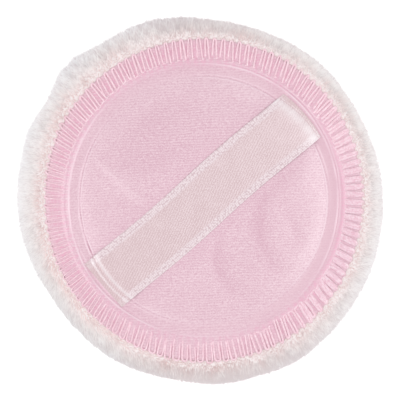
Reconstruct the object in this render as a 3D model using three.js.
// Powder puff: a round pile-fabric cushion with a satin back and a ribbon to slip the fingers under.
// Millimetres, +Z up. The puff lies on its pile face, so the satin and the ribbon are on top.
// The origin is the middle of the resting face, and +X runs along the ribbon.

import * as THREE from 'three';

// Pile cover: a bun with a flat resting face, widest low down, drawn in to the seam at the top
const RIM_RADIUS = 50;
const FACE_RADIUS = 30;
const BULGE_HEIGHT = 7.5;
const CREST_RISE = 0.9;
const CREST_SETBACK = 1;
const PILE_DEPTH = 5.3;

// The cover isn't a true circle: it is a little oval, with one pleat and a tuck beside it
const OVAL = 0.7;
const OVAL_ANGLE = 77;
const PLEAT = 1;
const PLEAT_ANGLE = 94;
const PLEAT_SPREAD = 6;
const TUCK = 0.8;
const TUCK_ANGLE = 107;
const TUCK_SPREAD = 5;

// Seam: the cover's lip, the lining and the satin are cut to one circle and overlocked together.
// The pile stands out past their edge all round.
const RIM_OVERHANG = 6.3;
const SEAM_HEIGHT = 16;
const SEAM_WIDTH = 4.9;
const LIP_THICKNESS = 1.2;
const COVER_THICKNESS = 2.2;
const NECK_WALL = 1.5;

// Quilted back: a thin foam lining under the satin, pressed flat in the heat-sealed ring
const LINING_THICKNESS = 0.6;
const SATIN_THICKNESS = 0.4;
const PILLOW_RISE = 1.6;
const PILLOW_POWER = 4;
const WELD_WIDTH = 2.9;
const BORDER_WIDTH = 2.1;
const BORDER_RISE = 0.4;

// Ribbon: sealed into the ring at both ends and lying over the pillow between them
const RIBBON_WIDTH = 15;
const RIBBON_THICKNESS = 0.4;

// Three-thread overlock around the edge
const STITCH_COUNT = 120;
const THREAD_DIAMETER = 0.5;
const LOOP_GAP = 0.3;

// Gap that neighbouring pieces keep, and how finely curves are cut
const CLEARANCE = 0.3;
const COVER_STEPS = 60;
const BACK_STEPS = 48;
const COVER_ARC_STEPS = 4;
const HOLLOW_ARC_STEPS = 2;
const PILLOW_STEPS = 5;
const RIBBON_STEPS = 24;

// Heights of the stack, each piece resting on the one below it
const threadRoom = THREAD_DIAMETER + 2 * CLEARANCE;
const lipBottom = SEAM_HEIGHT - LIP_THICKNESS;
const grooveFloor = lipBottom - threadRoom;
const shoulderHeight = grooveFloor - COVER_THICKNESS;
const crestWall = SEAM_HEIGHT + CREST_RISE - BULGE_HEIGHT;
const liningBottom = SEAM_HEIGHT + CLEARANCE;
const liningSeat = liningBottom + LINING_THICKNESS;
const satinBottom = liningSeat + CLEARANCE;
const satinSeat = satinBottom + SATIN_THICKNESS;
const ribbonSeat = satinSeat + CLEARANCE;
const topThreadHeight = satinSeat + CLEARANCE + THREAD_DIAMETER / 2;
const underThreadHeight = lipBottom - CLEARANCE - THREAD_DIAMETER / 2;

// Radii that the pieces share, from the rim inwards
const cavityRadius = RIM_RADIUS - PILE_DEPTH;
const seamRadius = RIM_RADIUS - RIM_OVERHANG;
const loopOuterRadius = seamRadius + CLEARANCE + THREAD_DIAMETER / 2;
const grooveOuterRadius = loopOuterRadius + THREAD_DIAMETER / 2 + CLEARANCE;
const crestRadius = grooveOuterRadius + CREST_SETBACK;
const seamInnerRadius = seamRadius - SEAM_WIDTH;
const loopInnerRadius = seamInnerRadius + THREAD_DIAMETER / 2;
const grooveInnerRadius = loopInnerRadius + THREAD_DIAMETER;
const mouthRadius = grooveInnerRadius - NECK_WALL;
const weldOuterRadius = seamInnerRadius - BORDER_WIDTH;
const weldInnerRadius = weldOuterRadius - WELD_WIDTH;

const radians = THREE.MathUtils.degToRad;

// Points of a quarter ellipse in a profile: the lower one runs from its foot out to the widest point,
// and the upper one from the widest point in to the top
function lowerQuarter(middleR, middleZ, wide, high, steps) {
  return upperQuarter(middleR, middleZ, wide, -high, steps).reverse();
}

function upperQuarter(middleR, middleZ, wide, high, steps) {
  const points = [];
  for (let i = 0; i <= steps; i += 1) {
    const angle = (Math.PI / 2) * (i / steps);
    points.push([middleR + wide * Math.cos(angle), middleZ + high * Math.sin(angle)]);
  }
  return points;
}

// A turned solid about Z from a profile of [radius, height] that starts and ends on the axis
function turned(profile, steps) {
  const points = profile.map(([radius, height]) => new THREE.Vector2(radius, height));
  const geometry = new THREE.LatheGeometry(points, steps);
  geometry.rotateX(Math.PI / 2);
  return geometry;
}

// How far the cover's outline stands out from its mean circle at an angle about Z
function outlineShift(angle) {
  const bump = (middle, spread) => {
    const away = Math.atan2(Math.sin(angle - radians(middle)), Math.cos(angle - radians(middle)));
    return Math.exp(-0.5 * (away / radians(spread)) ** 2);
  };
  const oval = OVAL * Math.cos(2 * (angle - radians(OVAL_ANGLE)));
  return oval + PLEAT * bump(PLEAT_ANGLE, PLEAT_SPREAD) - TUCK * bump(TUCK_ANGLE, TUCK_SPREAD);
}

// Pile cover: a cup with a groove under its lip, where the seam's under thread runs
function coverGeometry() {
  const profile = [
    [0, 0],
    ...lowerQuarter(FACE_RADIUS, BULGE_HEIGHT, RIM_RADIUS - FACE_RADIUS, BULGE_HEIGHT, COVER_ARC_STEPS),
    ...upperQuarter(crestRadius, BULGE_HEIGHT, RIM_RADIUS - crestRadius, crestWall, COVER_ARC_STEPS).slice(1),
    [grooveOuterRadius, grooveFloor],
    [grooveInnerRadius, grooveFloor],
    [grooveInnerRadius, lipBottom],
    [seamRadius, lipBottom],
    [seamRadius, SEAM_HEIGHT],
    [mouthRadius, SEAM_HEIGHT],
    ...cavityProfile(0).reverse(),
  ];
  const geometry = turned(profile, COVER_STEPS);
  const places = geometry.attributes.position;
  const still = Math.max(cavityRadius, grooveOuterRadius);
  for (let i = 0; i < places.count; i += 1) {
    const radius = Math.hypot(places.getX(i), places.getY(i));
    const angle = Math.atan2(places.getY(i), places.getX(i));
    const share = THREE.MathUtils.clamp((radius - still) / (RIM_RADIUS - still), 0, 1);
    const scale = radius > still ? 1 + (share * outlineShift(angle)) / radius : 1;
    places.setXY(i, places.getX(i) * scale, places.getY(i) * scale);
  }
  return geometry;
}

// The hollow of the cover from its floor up to the mouth, drawn in all round by a gap
function cavityProfile(gap) {
  const floor = PILE_DEPTH + gap;
  const widest = cavityRadius - gap;
  const neck = mouthRadius - gap;
  const ceiling = shoulderHeight - gap;
  const middle = THREE.MathUtils.lerp(floor, ceiling, 0.5);
  return [
    [0, floor],
    ...lowerQuarter(FACE_RADIUS, middle, widest - FACE_RADIUS, middle - floor, HOLLOW_ARC_STEPS),
    ...upperQuarter(neck, middle, widest - neck, ceiling - middle, HOLLOW_ARC_STEPS).slice(1),
  ];
}

// Foam filling: it fills the hollow and its flat top is level with the lip
function fillingGeometry() {
  const neck = mouthRadius - CLEARANCE;
  return turned([...cavityProfile(CLEARANCE), [neck, SEAM_HEIGHT], [0, SEAM_HEIGHT]], BACK_STEPS);
}

// Rise of the quilted back above its pressed level: the pillow, the flat ring, the soft border and the seam
function backRise(radius) {
  if (radius < weldInnerRadius) {
    return PILLOW_RISE * (1 - (radius / weldInnerRadius) ** PILLOW_POWER);
  }
  if (radius > weldOuterRadius && radius < seamInnerRadius) {
    const across = (radius - weldOuterRadius) / (seamInnerRadius - weldOuterRadius);
    return BORDER_RISE * Math.sin(Math.PI * across);
  }
  return 0;
}

// Radii at which the quilted back is cut, from the axis out to the seam's edge
function backRadii() {
  const radii = [];
  for (let i = 0; i < PILLOW_STEPS; i += 1) {
    radii.push(weldInnerRadius * Math.sqrt(i / PILLOW_STEPS));
  }
  const border = THREE.MathUtils.lerp(weldOuterRadius, seamInnerRadius, 0.5);
  return [...radii, weldInnerRadius, weldOuterRadius, border, seamInnerRadius, seamRadius];
}

const backProfile = (level) => backRadii().map((radius) => [radius, level + backRise(radius)]);

// Lining: flat underneath, quilted on top
function liningGeometry() {
  const under = [[0, liningBottom], [seamRadius, liningBottom]];
  return turned([...under, ...backProfile(liningSeat).reverse()], BACK_STEPS);
}

// Satin: an even sheet laid over the lining
function satinGeometry() {
  return turned([...backProfile(satinBottom), ...backProfile(satinSeat).reverse()], BACK_STEPS);
}

// Ribbon: its side view in X and Z follows the pillow's middle line, and is extruded across its width
function ribbonGeometry() {
  const halfWidth = RIBBON_WIDTH / 2;
  const halfLength = Math.sqrt(weldOuterRadius ** 2 - halfWidth ** 2);
  const under = [[-halfLength, 0]];
  for (let i = 0; i <= RIBBON_STEPS; i += 1) {
    const along = weldInnerRadius * ((2 * i) / RIBBON_STEPS - 1);
    under.push([along, backRise(Math.abs(along))]);
  }
  under.push([halfLength, 0]);
  const over = under.map(([x, rise]) => [x, rise + RIBBON_THICKNESS]).reverse();
  const outline = [...under, ...over].map(([x, rise]) => new THREE.Vector2(x, ribbonSeat + rise));
  const side = new THREE.Shape(outline);
  const geometry = new THREE.ExtrudeGeometry(side, { depth: RIBBON_WIDTH, bevelEnabled: false });
  geometry.translate(0, 0, -halfWidth);
  geometry.rotateX(Math.PI / 2);
  return geometry;
}

// A closed thread through flat-lying points: a diamond section, mitred at each point
function threadGeometry(points) {
  const up = new THREE.Vector3(0, 0, 1);
  const radius = THREAD_DIAMETER / 2;
  const count = points.length;
  const places = [];
  const faces = [];
  points.forEach((point, i) => {
    const before = point.clone().sub(points[(i + count - 1) % count]).normalize();
    const after = points[(i + 1) % count].clone().sub(point).normalize();
    const ahead = before.clone().add(after).normalize();
    const reach = radius / ahead.dot(after);
    const right = ahead.clone().cross(up).multiplyScalar(reach);
    const rise = up.clone().multiplyScalar(radius);
    const ring = [right, rise, right.clone().negate(), rise.clone().negate()];
    ring.forEach((offset) => places.push(...point.clone().add(offset).toArray()));
    for (let side = 0; side < 4; side += 1) {
      const a = 4 * i + side;
      const b = 4 * i + ((side + 1) % 4);
      const c = 4 * ((i + 1) % count) + side;
      const d = 4 * ((i + 1) % count) + ((side + 1) % 4);
      faces.push(a, d, b, a, c, d);
    }
  });
  const geometry = new THREE.BufferGeometry();
  geometry.setAttribute('position', new THREE.Float32BufferAttribute(places, 3));
  geometry.setIndex(faces);
  geometry.computeVertexNormals();
  return geometry;
}

function ringPoint(radius, angle, height) {
  return new THREE.Vector3(radius * Math.cos(angle), radius * Math.sin(angle), height);
}

// Looper thread: blunt loops in and out across the seam, one pair to each stitch
function looperGeometry(innerRadius, outerRadius, height) {
  const pitch = (2 * Math.PI) / STITCH_COUNT;
  const points = [];
  for (let stitch = 0; stitch < STITCH_COUNT; stitch += 1) {
    [[innerRadius, stitch * pitch], [outerRadius, (stitch + 0.5) * pitch]].forEach(([radius, middle]) => {
      const half = (THREAD_DIAMETER + LOOP_GAP) / 2 / radius;
      points.push(ringPoint(radius, middle - half, height));
      points.push(ringPoint(radius, middle + half, height));
    });
  }
  return threadGeometry(points);
}

// Needle thread: one row of straight stitches just inside the loops
function needleGeometry() {
  const radius = loopInnerRadius - THREAD_DIAMETER - CLEARANCE;
  const points = [];
  for (let stitch = 0; stitch < STITCH_COUNT; stitch += 1) {
    points.push(ringPoint(radius, (stitch * 2 * Math.PI) / STITCH_COUNT, topThreadHeight));
  }
  return threadGeometry(points);
}

const cloth = (color, roughness) => new THREE.MeshStandardMaterial({ color, roughness, metalness: 0 });
const pile = cloth(0xede2e1, 0.95);
const foam = cloth(0xf2ead8, 0.9);
const lining = cloth(0xf3e4e4, 0.9);
const satin = cloth(0xe9c4d0, 0.45);
const ribbon = cloth(0xe8d6da, 0.5);
const thread = cloth(0xf0cfdb, 0.6);

const puff = new THREE.Group();

function addPiece(name, geometry, material) {
  const piece = new THREE.Mesh(geometry, material);
  piece.name = name;
  puff.add(piece);
}

const underLoopRadius = grooveInnerRadius + CLEARANCE + THREAD_DIAMETER / 2;
addPiece('plush_cover', coverGeometry(), pile);
addPiece('filling_pad', fillingGeometry(), foam);
addPiece('foam_lining', liningGeometry(), lining);
addPiece('satin_backing', satinGeometry(), satin);
addPiece('ribbon_strap', ribbonGeometry(), ribbon);
addPiece('needle_thread', needleGeometry(), thread);
addPiece('upper_looper_thread', looperGeometry(loopInnerRadius, loopOuterRadius, topThreadHeight), thread);
addPiece('lower_looper_thread', looperGeometry(underLoopRadius, loopOuterRadius, underThreadHeight), thread);

export default puff;
